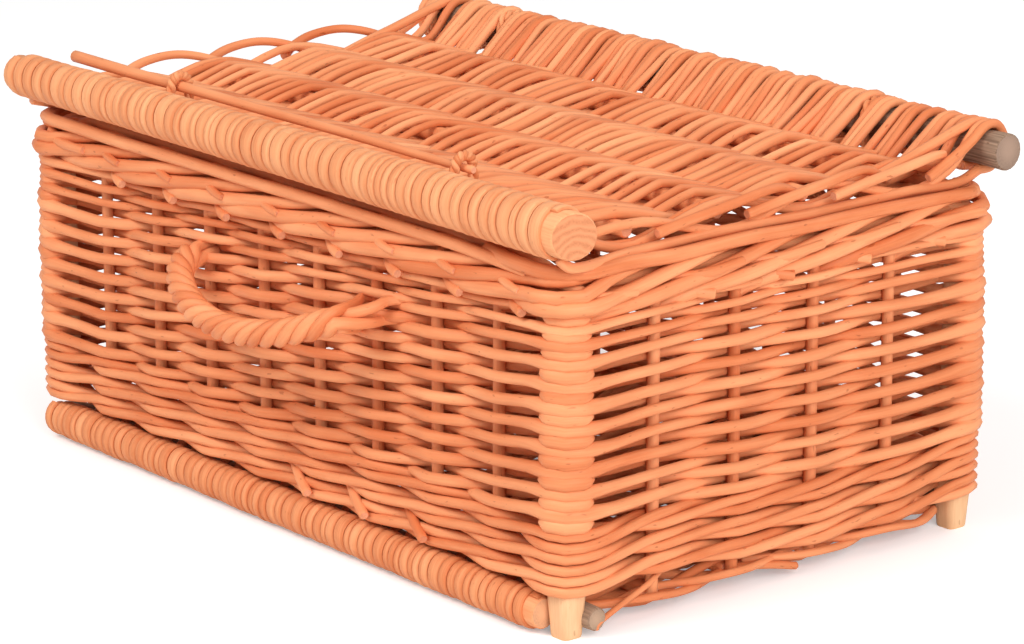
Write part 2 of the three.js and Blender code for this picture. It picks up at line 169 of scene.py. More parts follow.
# grain that every willow finish shares: streaks along the rod, blotches and a few dark specks
def makeGrainGroup():
    group = bpy.data.node_groups.new("willowGrain", "ShaderNodeTree")
    for way, kind, names in (("INPUT", "Color", ("Light", "Dark")), ("INPUT", "Float", ("Streaks", "Specks")),
                             ("OUTPUT", "Color", ("Color",)), ("OUTPUT", "Float", ("Height", "Wear"))):
        for name in names:
            group.interface.new_socket(name, in_out=way, socket_type="NodeSocket" + kind)
    given = group.nodes.new("NodeGroupInput")
    put = group.nodes.new("NodeGroupOutput")
    grain = addNode(group, "Attribute", {}, attribute_name="grain")
    tone = addNode(group, "Attribute", {}, attribute_name="rodTone")

    def cloud(scale, detail):
        place = addNode(group, "Mapping", {"Vector": grain.outputs["Vector"], "Scale": scale})
        inputs = {"Vector": place.outputs["Vector"], "Scale": 1, "Detail": detail}
        return addNode(group, "TexNoise", inputs).outputs["Fac"]

    def sum2(a, b, operation="ADD"):
        return addNode(group, "Math", {0: a, 1: b}, operation=operation).outputs[0]

    streak, blotch, speck = cloud((26, 950, 950), 4), cloud((22, 110, 110), 2), cloud((150, 420, 420), 1)
    mixed = sum2(sum2(streak, -0.5), given.outputs["Streaks"], "MULTIPLY")
    mixed = sum2(mixed, sum2(sum2(blotch, -0.5), 1.1, "MULTIPLY"))
    mixed = sum2(mixed, tone.outputs["Fac"])
    blend = addNode(group, "Mix", {"Factor": mixed, 6: given.outputs["Dark"], 7: given.outputs["Light"]},
                    data_type="RGBA")
    spot = addNode(group, "MapRange", {"Value": speck, "From Min": 0.71, "From Max": 0.78})
    spotted = sum2(spot.outputs["Result"], given.outputs["Specks"], "MULTIPLY")
    darken = addNode(group, "Mix", {"Factor": spotted, 6: blend.outputs[2], 7: (0.42, 0.25, 0.16, 1)},
                     data_type="RGBA", blend_type="MULTIPLY")
    feedNode(group, put, {"Color": darken.outputs[2], "Height": sum2(streak, spotted, "SUBTRACT"), "Wear": blotch})
    return group


grainGroup = makeGrainGroup()


# one finish: two tones of the same wood, its sheen and how deep its grain is
def makeFinish(name, light, dark, streaks=0.5, specks=0.5, rough=(0.42, 0.6), bump=0.12, shine=0.25):
    material, tree, shader = newMaterial(name)
    grain = addNode(tree, "Group", {"Light": (*light, 1), "Dark": (*dark, 1), "Streaks": streaks, "Specks": specks},
                    node_tree=grainGroup).outputs
    sheen = addNode(tree, "MapRange", {"Value": grain["Wear"], "To Min": rough[0], "To Max": rough[1]})
    relief = addNode(tree, "Bump", {"Height": grain["Height"], "Strength": bump, "Distance": 0.0006})
    feedNode(tree, shader, {"Base Color": grain["Color"], "Roughness": sheen.outputs["Result"],
                            "Normal": relief.outputs["Normal"], "Specular IOR Level": shine})
    return material


# sawn end of a stick: wavering rings round its heart, broken up by pores
def makeSawnEnd(name, light, dark, heart, ringGap):
    material, tree, shader = newMaterial(name)
    place = addNode(tree, "TexCoord", {})
    fromHeart = addNode(tree, "Mapping", {"Vector": place.outputs["Object"],
                                          "Location": (0, -heart[0] / 1000, -heart[1] / 1000)}).outputs["Vector"]
    rings = addNode(tree, "TexWave", {"Vector": fromHeart, "Scale": 314 / ringGap, "Distortion": 4, "Detail": 3,
                                      "Detail Scale": 1.5}, wave_type="RINGS", rings_direction="X")
    pores = addNode(tree, "TexNoise", {"Vector": fromHeart, "Scale": 900, "Detail": 4})
    both = addNode(tree, "Math", {0: rings.outputs["Fac"], 1: pores.outputs["Fac"]}, operation="MULTIPLY").outputs[0]
    tint = addNode(tree, "Mix", {"Factor": both, 6: (*light, 1), 7: (*dark, 1)}, data_type="RGBA")
    relief = addNode(tree, "Bump", {"Height": both, "Strength": 0.4, "Distance": 0.0005})
    feedNode(tree, shader, {"Base Color": tint.outputs[2], "Normal": relief.outputs["Normal"], "Roughness": 0.8})
    return material


willow = makeFinish("willow", (0.95, 0.405, 0.185), (0.7, 0.195, 0.068))
willowCut = makeFinish("willowCut", (0.93, 0.47, 0.28), (0.7, 0.26, 0.13), streaks=0.9, specks=0.2, rough=(0.7, 0.85))
skein = makeFinish("skein", (0.95, 0.45, 0.215), (0.68, 0.215, 0.08), streaks=0.9, specks=0.35, rough=(0.5, 0.66),
                   bump=0.2, shine=0.2)
peeled = makeFinish("peeled", (0.94, 0.6, 0.34), (0.72, 0.36, 0.17), streaks=0.8, specks=0.4, rough=(0.6, 0.75),
                    bump=0.25)
bark = makeFinish("bark", (0.42, 0.27, 0.18), (0.1, 0.055, 0.035), streaks=1.4, specks=0.8, rough=(0.75, 0.9),
                  bump=0.8)
print("finishes made")


# rods: dictionaries of points, radii and tone, made into one mesh through a bevelled curve
rodLook = dict(tones=(0.05, 0.8), bevel=0.8, bevelShare=0.78, bevelDepth=0.9, laneStep=0.731)


def makeRod(line, tone=None, closed=False, cut=True, look=rodLook):
    points = [Vector(p[:3]) for p in line]
    radii = [p[3] for p in line]
    if not closed and cut:   # a small bevel round each cut end
        for end, inner in ((0, 1), (-1, -2)):
            heading = (points[end] - points[inner]).normalized()
            edge = points[end] - heading * min(look["bevel"], 0.5 * (points[end] - points[inner]).length)
            spot = 1 if end == 0 else len(points) - 1
            points.insert(spot, edge)
            radii.insert(spot, radii[end])
            radii[end] = max(radii[end] * look["bevelShare"], radii[end] - look["bevelDepth"])
    tone = dice.uniform(*look["tones"]) if tone is None else tone
    return {"points": points, "radii": radii, "tone": tone, "closed": closed}


def rodMesh(name, rods, sides):
    curve = bpy.data.curves.new(name, "CURVE")
    curve.dimensions = "3D"
    curve.bevel_depth = 0.001
    curve.bevel_resolution = sides // 2 - 2
    curve.use_fill_caps = True
    for rod in rods:
        spline = curve.splines.new("POLY")
        spline.points.add(len(rod["points"]) - 1)
        spline.points.foreach_set("co", [c for p in rod["points"] for c in (*(p / 1000), 1)])
        spline.points.foreach_set("radius", rod["radii"])
        spline.use_cyclic_u = rod["closed"]
    holder = addObject(name, curve)
    view = bpy.context.evaluated_depsgraph_get()
    mesh = bpy.data.meshes.new_from_object(holder.evaluated_get(view))
    bpy.data.objects.remove(holder)
    bpy.data.curves.remove(curve)

    # where each point lies along and round its rod, for the grain; the caps come first, last rod first
    def ring(lane, spot):
        radius, shift = rods[lane]["radii"][spot] / 1000, lane * rodLook["laneStep"]
        for side in range(sides):
            turn = 2 * pi * side / sides
            grain.extend((lengths[lane][spot] + shift, radius * cos(turn) + shift, radius * sin(turn)))
            tones.append(rods[lane]["tone"])

    grain, tones, lengths = [], [], []
    for rod in rods:
        run = [0]
        for here, there in zip(rod["points"], rod["points"][1:]):
            run.append(run[-1] + (there - here).length / 1000)
        lengths.append(run)
    for lane in reversed(range(len(rods))):
        if not rods[lane]["closed"]:
            ring(lane, -1)
            ring(lane, 0)
    for lane, rod in enumerate(rods):
        for spot in range(len(rod["points"])):
            ring(lane, spot)
    mesh.attributes.new("grain", "FLOAT_VECTOR", "POINT").data.foreach_set("vector", grain)
    mesh.attributes.new("rodTone", "FLOAT", "POINT").data.foreach_set("value", tones)

    bm = bmesh.new()
    bm.from_mesh(mesh)
    bmesh.ops.remove_doubles(bm, verts=bm.verts, dist=1e-7)
    for part in bm.faces:
        part.smooth = len(part.verts) == 4
        part.material_index = int(len(part.verts) == 3)
    for edge in bm.edges:
        edge.smooth = len({part.material_index for part in edge.link_faces}) == 1
    bm.to_mesh(mesh)
    bm.free()
    return mesh


def makePiece(name, mesh, finishes, body, slot, *nodes):
    for finish in finishes:
        mesh.materials.append(finish)
    piece = addObject(name, mesh)
    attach(piece, body)
    if nodes:
        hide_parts(*nodes)
    print(name, len(mesh.vertices), "points")


def makeWillow(name, rods, sides, body, *nodes, slot="willow"):
    makePiece(name, rodMesh(name, rods, sides), (willow, willowCut), body, slot, *nodes)


# smooth line through control points of any number of values
def throughPoints(controls, pieces):
    knots = [controls[0], *controls, controls[-1]]
    line = []
    for four in zip(knots, knots[1:], knots[2:], knots[3:]):
        for step in range(pieces):
            t = step / pieces
            line.append([0.5 * (2 * b + (c - a) * t + (2 * a - 5 * b + 4 * c - d) * t * t
                                + (3 * b - a - 3 * c + d) * t ** 3) for a, b, c, d in zip(*four)])
    line.append(list(controls[-1]))
    return line


# values that run nearly straight from key to key; the first value of a key is its place along the run
def easeKeys(keys, spacing, soft=0.4):
    line = []
    for here, there in zip(keys, keys[1:]):
        rise = max(abs(b - a) for a, b in zip(here[1:], there[1:]))
        steps = max(1, round((there[0] - here[0]) / spacing), round(rise / 2))
        for step in range(steps):
            t = step / steps
            ease = t + soft * (0.5 - 0.5 * cos(pi * t) - t)
            line.append([mix(here[0], there[0], t), *(mix(a, b, ease) for a, b in zip(here[1:], there[1:]))])
    line.append(list(keys[-1]))
    return line


# even steps from one value to another, and points (y, z) on a circle or an upright ellipse
def evenly(start, stop, steps):
    return [start + (stop - start) * k / steps for k in range(steps + 1)]


def arcOf(y, z, radius, turns, high=None):
    return [[y + radius * cos(t), z + (high or radius) * sin(t)] for t in turns]


# the run round the four walls on the line of the stakes, corners rounded inside the posts
wallSides = ("front", "right", "back", "left")
bothEnds = ("left", "right")
cornerRounding = 12


def makeRun():
    sideLine = {side: middleOf(f"stake_{side}_1") for side in wallSides}
    low = Vector((sideLine["left"].x + cornerRounding, sideLine["front"].y + cornerRounding))
    high = Vector((sideLine["right"].x - cornerRounding, sideLine["back"].y - cornerRounding))
    corners = [Vector((low.x, low.y)), Vector((high.x, low.y)), Vector((high.x, high.y)), Vector((low.x, high.y))]
    straights = [high.x - low.x, high.y - low.y] * 2
    bend = cornerRounding * pi / 2
    starts = [sum(straights[:k]) + k * bend for k in range(4)]
    return corners, straights, bend, starts, 2 * sum(straights[:2]) + 4 * bend


runCorners, runStraights, runBend, runStarts, runLength = makeRun()


def runPoint(along, out, z):
    along %= runLength
    side = max(k for k in range(4) if along >= runStarts[k])
    past = along - runStarts[side]
    turn = side * pi / 2
    if past <= runStraights[side]:
        place = runCorners[side] + Vector((cos(turn), sin(turn))) * past
    else:
        turn += (past - runStraights[side]) / runBend * pi / 2
        place = runCorners[(side + 1) % 4]
    place = place + Vector((sin(turn), -cos(turn))) * (cornerRounding + out)
    return [place.x, place.y, z]


def stakesOf(side):
    return sorted(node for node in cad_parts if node.startswith(f"stake_{side}_"))


# uprights in order round the run: (along, is it a post, side, number on its side)
def findUprights():
    found = []
    for side, name in enumerate(wallSides):
        heading = Vector((cos(side * pi / 2), sin(side * pi / 2)))
        spots = sorted(runStarts[side] + (middleOf(node).xy - runCorners[side]).dot(heading) for node in stakesOf(name))
        found += [(spot, False, side, number) for number, spot in enumerate(spots)]
        found.append((runStarts[side] + runStraights[side] + runBend / 2, True, side, 0))
    return found


uprights = findUprights()
backMiddle = 18   # the upright at the middle of the back, where rods start and end
stakeRadius, postRadius = radiusOf("stake_front_1", 0), radiusOf("post_front_right", 0)
weaveBottom, weaveTop = boxOf("weave_front")[0].z, boxOf("weave_front")[1].z
runToPost = hypot(*(middleOf("post_front_right").xy - runCorners[1])) - cornerRounding


def uprightAt(number):   # numbers run on from lap to lap
    lap, place = divmod(number, len(uprights))
    along, post, side, order = uprights[place]
    return along + runLength * lap, post, side, order


def cornerKeys(along, edgeOut, midOut, lead):
    half = runBend / 2
    return [(along - half + lead, edgeOut), (along, midOut), (along + half - lead, edgeOut)]


wallLook = dict(
    rowPitch=5.9, rodRadius=3.35, rodVaries=0.25, thinRows=6, thinPitch=4.4, thinRadius=2.5, underBorder=4, climb=8,
    grip=0.92, sway=1.2, frontDrop=2.4, insideDrop=2.2, rodStart=((-17, -6.5), (0, -5.6)), rodEnd=((0, 0), (15, -0.5)),
    press=0.8, wideTuck=2.5, tightTuck=1, tightLead=5, dive=(5, 4), cornerSwell=0.42, swellOver=13, sag=9, sagFrom=-90,
    sagOver=140, sagLess=0.62, lessFrom=110, lessOver=60)


# 1 at a post, fading to 0 along the run
def nearPost(along):
    gap = min(abs((along - upright[0] + runLength / 2) % runLength - runLength / 2)
              for upright in uprights if upright[1])
    return exp(-(gap / wallLook["swellOver"]) ** 2)


def smooth(value):
    value = min(max(value, 0), 1)
    return value * value * (3 - 2 * value)


# rows of the two ends hang lower towards the back, most of all at the foot
def rowPoint(along, out, z, look=wallLook):
    x, y, z = runPoint(along, out, z)
    drop = look["sag"] * smooth((y - look["sagFrom"]) / look["sagOver"])
    drop *= 1 - look["sagLess"] * smooth((y - look["lessFrom"]) / look["lessOver"])
    return [x, y, z - drop * min(max((weaveTop - z) / (weaveTop - weaveBottom), 0), 1)]


def rowLevel(row, start, count, look=wallLook):
    stout = count - look["thinRows"]
    return start + look["rowPitch"] * min(row, stout) + look["thinPitch"] * max(row - stout, 0)


# plain rows: rods go out and in round the stakes and outside the posts, once round from the middle of the back;
# on the front they climb one row with every stake, so that some start or end there
def weaverRod(row, start, count, look=wallLook):
    stout, top = count - look["thinRows"], count - 1
    extra = dice.uniform(-look["rodVaries"], look["rodVaries"])

    def isOut(number):
        side, order = uprightAt(number)[2:]
        return (order + row + side) % 2 == 0

    def radiusAt(level):
        thin = smooth((level - stout + 2) / 3)
        return look["rodRadius"] + extra + (look["thinRadius"] - look["rodRadius"]) * thin

    first = -row - 1 if row < 0 else backMiddle - len(uprights) + isOut(backMiddle)
    last = top - row if row + look["climb"] > top else backMiddle + isOut(backMiddle)
    keys = []
    for number in range(first, last + 1):
        along, post = uprightAt(number)[:2]
        level = row + min(max(number, 0), look["climb"])
        radius, half = radiusAt(level), runBend / 2
        reach = stakeRadius + radius * look["grip"]
        corner = runToPost + postRadius + radius * look["press"]
        if number in (first, last):
            found = [(along + ahead, out - reach) for ahead, out in look["rodStart" if number == first else "rodEnd"]]
        elif not post:
            found = [(along, reach if isOut(number) else -reach)]
        elif isOut(number - 1):   # runs on past the post to both walls
            found = cornerKeys(along, postRadius + radius - look["wideTuck"], corner, 0)
        else:   # turns tight round the post and dives in on both sides
            found = cornerKeys(along, postRadius + radius - look["tightTuck"], corner, look["tightLead"])
            found = [(along - half - look["dive"][0], -reach), *found, (along + half + look["dive"][1], -reach)]
        keys += [(a, out, level) for a, out in found]
    track = newTrack()
    line = []
    for a, out, level in easeKeys(keys, 6):
        radius = radiusAt(level)
        inside = min(max(0.5 - 0.5 * out / (stakeRadius + radius * look["grip"]), 0), 1)
        drop = look["frontDrop" if a % runLength < runStraights[0] else "insideDrop"] * inside
        z = rowLevel(level, start, count) - drop + wobble(track + 5, a / 45, look["sway"])
        swell = 1 + look["cornerSwell"] * nearPost(a)
        line.append([*rowPoint(a, out + wobble(track, a / 60, 0.7), z),
                     (radius + wobble(track + 9, a / 30, 0.25)) * swell])
    return makeRod(line)


# stout rows at the foot: three strands that each pass two uprights outside and one inside
waleLook = dict(
    rounds=3, pitch=12.4, radius=3.05, lift=3.1, crossLift=3, crossShift=0.05, cornerIn=1.5, butts=(4, 5, 6),
    buttRadius=3.1, buttKeys=((-34, -5, 15), (-20, 3, 12.5), (-9, 8.5, 9.5), (3, 13, 5.5)))


def waleStrand(z, strand, look):
    radius = look["radius"]
    reach, aroundPost = stakeRadius + radius * wallLook["grip"], postRadius + radius
    first = backMiddle + strand
    keys = []
    for number in range(first, first + len(uprights) + 1):
        along, post = uprightAt(number)[:2]
        ahead, postAhead = uprightAt(number + 1)[:2]
        phase = (number - strand) % 3
        lift = (0, -look["lift"], look["lift"])[phase]
        if not post:
            keys.append((along, reach if phase else -reach, lift))
        else:
            edge = aroundPost - wallLook["wideTuck"] if phase else -reach - look["cornerIn"]
            middle = runToPost + (aroundPost if phase else -aroundPost)
            keys += [(a, out, lift) for a, out in cornerKeys(along, edge, middle, 0)]
        if phase != 1 and not post and not postAhead:   # comes out below, so that the strand going in passes above
            way = phase - 1
            keys.append((mix(along, ahead, 0.5 + way * look["crossShift"]), 0, way * look["crossLift"]))
    track = newTrack()
    return makeRod([[*rowPoint(a, out + wobble(track, a / 70, 0.5), z + lift + wobble(track + 5, a / 50, 0.5)),
                     radius + wobble(track + 9, a / 90, 0.35)] for a, out, lift in easeKeys(keys, 6)])


def makeWalls(look, wale):
    rods = []
    z = weaveBottom + wale["pitch"] / 2
    for _ in range(wale["rounds"]):
        rods += [waleStrand(z, strand, wale) for strand in range(3)]
        z += wale["pitch"]
    z += look["rowPitch"] / 2 - wale["pitch"] / 2
    for number in wale["butts"]:   # cut butts of the first strands
        line = [[*runPoint(uprights[number][0] + ahead, out, weaveBottom + up), wale["buttRadius"]]
                for ahead, out, up in wale["buttKeys"]]
        rods.append(makeRod(throughPoints(line, 4)))
    makeWillow("waleRows", rods, 8, "basket")
    thinStart = weaveTop - look["underBorder"] - look["thinRows"] * look["thinPitch"]
    count = round((thinStart - z) / look["rowPitch"]) + look["thinRows"]
    count += count % 2   # an even number, so that rods end inside
    rods = [weaverRod(row, z, count) for row in range(-look["climb"], count)]
    makeWillow("wallWeave", rods, 8, "basket", "weave_front", "weave_right", "weave_back", "weave_left")


makeWalls(wallLook, waleLook)


# stakes stand through the rows, a little crooked
stakeLook = dict(steps=14, swayX=0.5, swayY=0.3, butt=1.02, taper=0.06)


def makeStakes(look):
    steps = look["steps"]
    for side in wallSides:
        rods = []
        for node in stakesOf(side):
            low, high = boxOf(node)
            middle, track = (low + high) / 2, newTrack()
            rods.append(makeRod([[middle.x + wobble(track, k / 5, look["swayX"]),
                                  middle.y + wobble(track + 3, k / 5, look["swayY"]), z,
                                  stakeRadius * (look["butt"] - look["taper"] * k / steps)]
                                 for k, z in enumerate(evenly(low.z, high.z, steps))]))
        makeWillow(f"stakes.{side}", rods, 10, "basket", *stakesOf(side))


makeStakes(stakeLook)


# corner posts: round poles whose pale feet are pared square
postLook = dict(
    paring=26, square=1.24, hidden=12, tone=0.6, footShares=(0.74, 0.79, 0.9, 1, 1, 1, 0.9),
    buttShares=(0.9, 1, 1, 1, 1, 1, 0.9))


def makePosts(look):
    for node in ("post_front_left", "post_front_right", "post_back_left", "post_back_right"):
        low, high = boxOf(node)
        middle, radius = (low + high) / 2, radiusOf(node, 0)
        hasFoot = low.z < 1
        top, paring = high.z - low.z - look["hidden"], look["paring"]
        levels = (0, 1.2, paring * 0.55, paring, paring + 3, top - 1, top)
        shares = look["footShares" if hasFoot else "buttShares"]
        rod = makeRod([[middle.x, middle.y, low.z + level, radius * share] for level, share in zip(levels, shares)],
                      look["tone"], cut=False)
        mesh = rodMesh(node, [rod], 24)
        if hasFoot:   # knife cuts leave the foot four-sided with blunt corners
            for point in mesh.vertices:
                side = point.co.xy - middle.xy / 1000
                if point.co.z * 1000 < low.z + paring + 1 and side.length > 1e-6:
                    flat = max(abs(side.x), abs(side.y)) / side.length
                    point.co.xy = middle.xy / 1000 + side * min(1 / flat, look["square"])
        makePiece(node.replace("_", "."), mesh, (peeled, peeled), "basket", "peeled_stick", node)


makePosts(postLook)


# border: every upright is bent down to the right, climbs slowly on the outside of the next ones, drops behind
# and comes out again below as a cut end; a thinner rod by each upright ends lower down
# a key is (uprights passed, out, lift at the front, lift elsewhere if another); a laid rod is (side, begins, runs on)
borderLook = dict(
    rodRadius=4.3, tipRadius=3.6, stubRadius=3, stubTaper=0.3, bulge=6, sway=0.9,
    lap=((0, -2, -22, -24), (0.2, -0.5, -18, -20), (0.45, 5, -13.5, -15.5), (0.9, 9, -10.5, -11.5),
         (1.6, 9.4, -6, -5), (2.3, 7.2, -1, 1.8), (2.8, 4.5, 3, 6.5), (3.25, 0, 7, 4.8), (3.65, -5, 6, 1),
         (3.95, -5, 1.5, -3)),
    frontStub=((4.08, 0, -1.5, -4.5), (4.22, 7.5, -2.8, -5.5), (4.42, 11.6, -3.8, -6), (4.6, 13, -4.8, -7)),
    sideTip=((4.1, 1, -1, -5), (4.3, 8, -3, -6), (4.55, 12, -3, -4.6), (4.9, 13, -3, -2)),
    frontLow=((0.1, -4, -13), (0.28, 3, -14.4), (0.46, 8.4, -15.8), (0.62, 11, -17)),
    sideLow=((0.2, -4, -13), (0.35, 3, -15), (0.5, 8, -16.8), (0.57, 11, -17.4)),
    laid=((1, -70, 26), (3, -2, 470)), laidOut=9.6, laidLift=8.6, laidTaper=0.08, topLift=11.5, topOut=-1.5,
    topShort=10, topRadius=3.3, inner=(-10, -2.5, 5), innerOut=-2.5, innerSteps=160)


def makeBorder(look):
    count = len(uprights)
    level, frontLine = middleOf("border_front").z, middleOf("border_front").y

    def borderPoint(number, key, track):
        share, out, frontLift, sideLift = (*key, key[-1])[:4]
        along = mix(*(uprightAt(number + int(share) + k)[0] for k in (0, 1)), share % 1)
        out += look["bulge"] * nearPost(along) + wobble(track, share * 1.5, look["sway"])
        x, y, z = runPoint(along, out, level)
        front = min(max((frontLine + 14 - y) / 8, 0), 1)
        return [x, y, z + sideLift + (frontLift - sideLift) * front + wobble(track + 4, share * 1.5, look["sway"])]

    def laidRod(line, closed=False):
        rods.append(makeRod([[*runPoint(*spot[:3]), spot[3]] for spot in line], closed=closed))

    rods = []
    for number in range(count):
        track = newTrack()
        atFront = uprights[(number + 4) % count][2] == 0
        thin = look["stubRadius"] if atFront else look["tipRadius"]
        lap = [[*key, mix(look["rodRadius"], look["tipRadius"], key[0] / 4)] for key in look["lap"]]
        tip = look["frontStub" if atFront else "sideTip"]
        lap += [[*key, thin - look["stubTaper"] * k] for k, key in enumerate(tip)]
        rods.append(makeRod([[*borderPoint(number, key[:4], track), key[4]] for key in throughPoints(lap, 6)]))
        if not uprights[number][1]:
            low = throughPoints(look["frontLow" if uprights[number][2] == 0 else "sideLow"], 4)
            rods.append(makeRod([[*borderPoint(number, key, track + 2), look["stubRadius"]] for key in low]))
    for side, begins, runsOn in look["laid"]:   # stout rods along the top of both ends, the left one on along the front
        run = evenly(runStarts[side] + begins, runStarts[side] + runStraights[side] + runsOn, 12)
        laidRod(throughPoints([[along, look["laidOut"] - 1.6 * (k == 12) - 8 * (k == 0),
                                level + look["laidLift"] + wobble(side * 3, k, 1.4) - 3 * (k == 12),
                                look["rodRadius"] - look["laidTaper"] * k] for k, along in enumerate(run)], 8))
    run = evenly(runStarts[0] + look["topShort"], runStarts[0] + runStraights[0] - look["topShort"], 24)
    laidRod(throughPoints([[along, wobble(5, k, 1) + look["topOut"],   # closes the gap under the lid's roll
                            level + look["topLift"] + wobble(9, k, 0.8) - 6 * (k in (0, 24)), look["topRadius"]]
                           for k, along in enumerate(run)], 3))
    for lift in look["inner"]:   # rods laid round inside the bent ones
        laidRod([[along, look["innerOut"] + wobble(lift, k / 3, 1), level + lift + wobble(lift + 1, k / 3, 1.5),
                  look["tipRadius"]] for k, along in enumerate(evenly(0, runLength, look["innerSteps"])[:-1])], True)
    makeWillow("border", rods, 10, "basket", "border_front", "border_right", "border_back", "border_left")


makeBorder(borderLook)


# bound rolls: a split skein wound round and round a stick, its section given as (across, height)
skeinLook = dict(
    # the tone taken off the low sides of each turn is painted shade in the grooves between turns
    thickness=2, underStrip=0.2, gap=0.18, steps=22, startTurn=0.4, paintedGrooveShade=0.35,
    section=((-0.5, 0), (0.5, 0), (0.5, 0.5), (0.3, 0.95), (-0.05, 1), (-0.38, 0.85), (-0.5, 0.4)))
rollLook = dict(
    lid=dict(body="lid", turns=62, lump=0.25, seed=5, darker=0, runOn=(11, 5.5), tone=0.6, leftEnd=0.865, slantBy=-2,
             slant=0.3, light=(0.78, 0.295, 0.13), dark=(0.5, 0.155, 0.058), heart=(2, -14), ringGap=4),
    base=dict(body="basket", turns=66, lump=0.6, seed=9, darker=0.2, runOn=(0, 0), tone=0.5, leftEnd=1, slantBy=0,
              slant=0, light=(0.85, 0.45, 0.24), dark=(0.5, 0.24, 0.13), heart=(0, 0), ringGap=20))


def makeSkein(name, kind, look, roll):
    low, high = boxOf(f"{kind}_front_binding")
    stick = f"{kind}_front_stick"
    axis, core = middleOf(stick), radiusOf(stick)
    stickLow, stickHigh = boxOf(stick)
    low.x -= roll["runOn"][0]
    high.x += roll["runOn"][1]
    local, turns = random.Random(roll["seed"]), roll["turns"]
    steps, section = look["steps"], look["section"]
    edges = [0]
    for width in [local.uniform(0.6, 1.35) for _ in range(turns + 2)]:
        edges.append(edges[-1] + width)
    scale = (high.x - low.x) / edges[turns + 1]
    edges = [low.x + edge * scale for edge in edges]
    shade = [local.uniform(0.32, 0.7) - roll["darker"] for _ in range(turns + 2)]
    lumps = [local.uniform(-roll["lump"], roll["lump"]) for _ in range(turns + 2)]
    bm = bmesh.new()
    grain = bm.verts.layers.float_vector.new("grain")
    tones = bm.verts.layers.float.new("rodTone")
    ring = [bm.verts.new((x, axis.y, axis.z + h)) for x, h in section]
    start = [*ring, *(bm.edges.new((a, b)) for a, b in zip(ring, ring[1:] + ring[:1]))]
    bmesh.ops.spin(bm, geom=start, cent=axis, axis=(1, 0, 0), dvec=(1 / steps, 0, 0),
                   angle=2 * pi * turns, steps=steps * turns)
    bm.verts.ensure_lookup_table()
    for place, point in enumerate(bm.verts):
        step, corner = divmod(place, len(section))
        across, up = section[corner]
        turn = step / steps
        whole = min(int(turn), turns - 1)
        part = turn - whole
        left = mix(*edges[whole:whole + 2], part) + look["gap"]
        right = mix(*edges[whole + 1:whole + 3], part) - look["gap"]
        x = (left + right) / 2 + across * (right - left)
        taper = mix(roll["leftEnd"], 1, (x - stickLow.x) / (stickHigh.x - stickLow.x))
        lump = mix(*lumps[whole:whole + 2], part)
        height = core * taper + look["underStrip"] + up * look["thickness"] + lump * (0.4 + 0.6 * up)
        angle = 2 * pi * turn + look["startTurn"]
        point.co = Vector((x, axis.y - height * sin(angle), axis.z + height * cos(angle))) / 1000
        point[grain] = (turn * 0.09 + roll["seed"], (x - left) / 1000 * 1.6 + whole * 0.37, up * 0.0005)
        tone = mix(*shade[whole:whole + 2], part)
        # the low sides of each turn, down in the grooves between turns, are darkened: painted shade
        point[tones] = tone - (look["paintedGrooveShade"] if up < 0.6 else 0)
    bmesh.ops.holes_fill(bm, edges=[e for e in bm.edges if e.is_boundary], sides=len(section))
    bmesh.ops.recalc_face_normals(bm, faces=bm.faces)
    for part in bm.faces:
        part.smooth = True
    mesh = bpy.data.meshes.new(name)
    bm.to_mesh(mesh)
    bm.free()
    mesh.set_sharp_from_angle(angle=radians(55))
    return mesh


def makeRolls(look):
    for kind, roll in look.items():
        stick, name = f"{kind}_front_stick", f"{kind}Roll"
        low, high = boxOf(stick)
        axis, radius = middleOf(stick), radiusOf(stick)
        rod = makeRod([[x, axis.y, axis.z, radius * mix(roll["leftEnd"], 1, k / 12)]
                       for k, x in enumerate(evenly(low.x, high.x, 12))], roll["tone"])
        heart = axis.y + roll["heart"][0], axis.z + roll["heart"][1]
        sawn = makeSawnEnd(name + "End", roll["light"], roll["dark"], heart, roll["ringGap"])
        mesh = rodMesh(name, [rod], 20)
        for point in mesh.vertices:   # the right end of the lid's is sawn aslant
            if point.co.x * 1000 > high.x - 2:
                point.co.x += (roll["slantBy"] + roll["slant"] * (point.co.y * 1000 - axis.y)) / 1000
        makePiece(name, mesh, (skein, sawn), roll["body"], "peeled_stick", stick)
        makePiece(name + "Binding", makeSkein(name + "Binding", kind, skeinLook, roll), (skein,), roll["body"],
                  "split_willow", f"{kind}_front_binding")


makeRolls(rollLook)


# straight cross sticks of the lid and the base, and the back sticks; those of the lid end under its edge rods
stickLook = dict(
    shorter=dict(lid=16, base=0), swayY=0.8, swayZ=0.5, taper=0.05, barkBumps=0.06, tone=0.5,
    light=(0.38, 0.245, 0.175), dark=(0.18, 0.115, 0.08), ringGap=24)


def makeSticks(look):
    bodies = {"lid": "lid", "base": "basket"}
    for kind, body in bodies.items():
        nodes = [f"{kind}_stick_{k}" for k in range(1, 5)]
        rods = []
        for node in nodes:
            axis, radius, track = middleOf(node), radiusOf(node), newTrack()
            half = radiusOf(node, 0) - look["shorter"][kind]
            rods.append(makeRod([[axis.x + half * (k - 10) / 10, axis.y + wobble(track, k / 4, look["swayY"]),
                                  axis.z + wobble(track + 2, k / 4, look["swayZ"]),
                                  radius * (1 - look["taper"] * k / 20)] for k in range(21)]))
        makeWillow(f"{kind}Sticks", rods, 10, body, *nodes, slot="peeled_stick")
    for kind, body in bodies.items():
        node, name = f"{kind}_back_stick", f"{kind}BackStick"
        low, high = boxOf(node)
        axis, radius, track = middleOf(node), radiusOf(node), newTrack()
        rod = makeRod([[x, axis.y, axis.z, radius * (1 + wobble(track, k / 3, look["barkBumps"]))]
                       for k, x in enumerate(evenly(low.x, high.x, 60))], look["tone"])
        sawn = makeSawnEnd(name + "End", look["light"], look["dark"], (axis.y, axis.z), look["ringGap"])
        makePiece(name, rodMesh(name, [rod], 20), (bark, sawn), body, "bark_stick", node)


makeSticks(stickLook)


